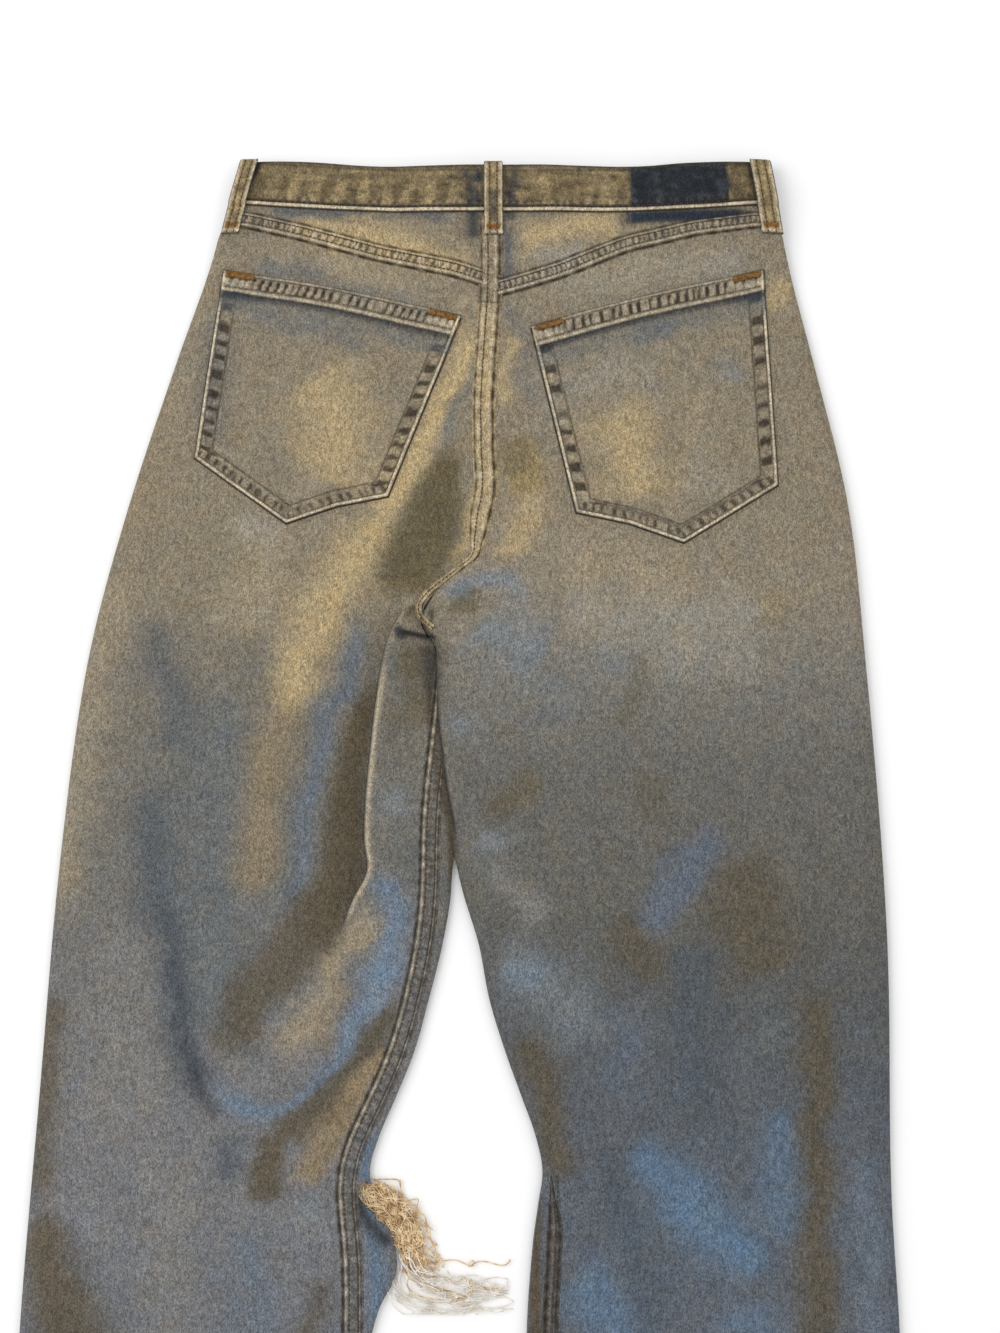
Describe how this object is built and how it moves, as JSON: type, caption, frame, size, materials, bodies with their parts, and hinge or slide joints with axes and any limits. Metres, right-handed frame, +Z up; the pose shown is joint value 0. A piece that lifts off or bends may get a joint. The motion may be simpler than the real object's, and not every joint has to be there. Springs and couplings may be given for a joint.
{
  "type": "ripped jeans",
  "caption": "Relaxed ripped jeans laid flat face down, with yokes, patch pockets, belt loops, a torn knee and frayed threads.",
  "frame": {"origin": "middle of the outline as laid out, on the surface that the jeans lie on", "axes": "+Y towards the waist, +Z up out of the back of the jeans, +X towards the wearer's right leg"},
  "size_m": [0.5475, 1.0945, 0.016],
  "materials": {
    "denim": "washed and worn light blue cotton denim with a tan tint",
    "button_metal": "dull aged metal",
    "zip_tape": "woven cotton tape",
    "zip_metal": "worn brass",
    "frayed_thread": "loose undyed cotton threads"
  },
  "bodies": {
    "root": {"back_left": "denim", "back_right": "denim", "yoke_left": "denim", "yoke_right": "denim", "back_pocket_left": "denim", "back_pocket_right": "denim", "front_left": "denim", "front_right": "denim", "pocket_facing_left": "denim", "pocket_facing_right": "denim", "waistband": "denim", "loop_back": "denim", "loop_side_left": "denim", "loop_side_right": "denim", "loop_front_left": "denim", "loop_front_right": "denim", "button": "button_metal", "zip": "zip_tape", "zip_slider": "zip_metal", "knee_threads": "frayed_thread"}
  },
  "joints": []
}
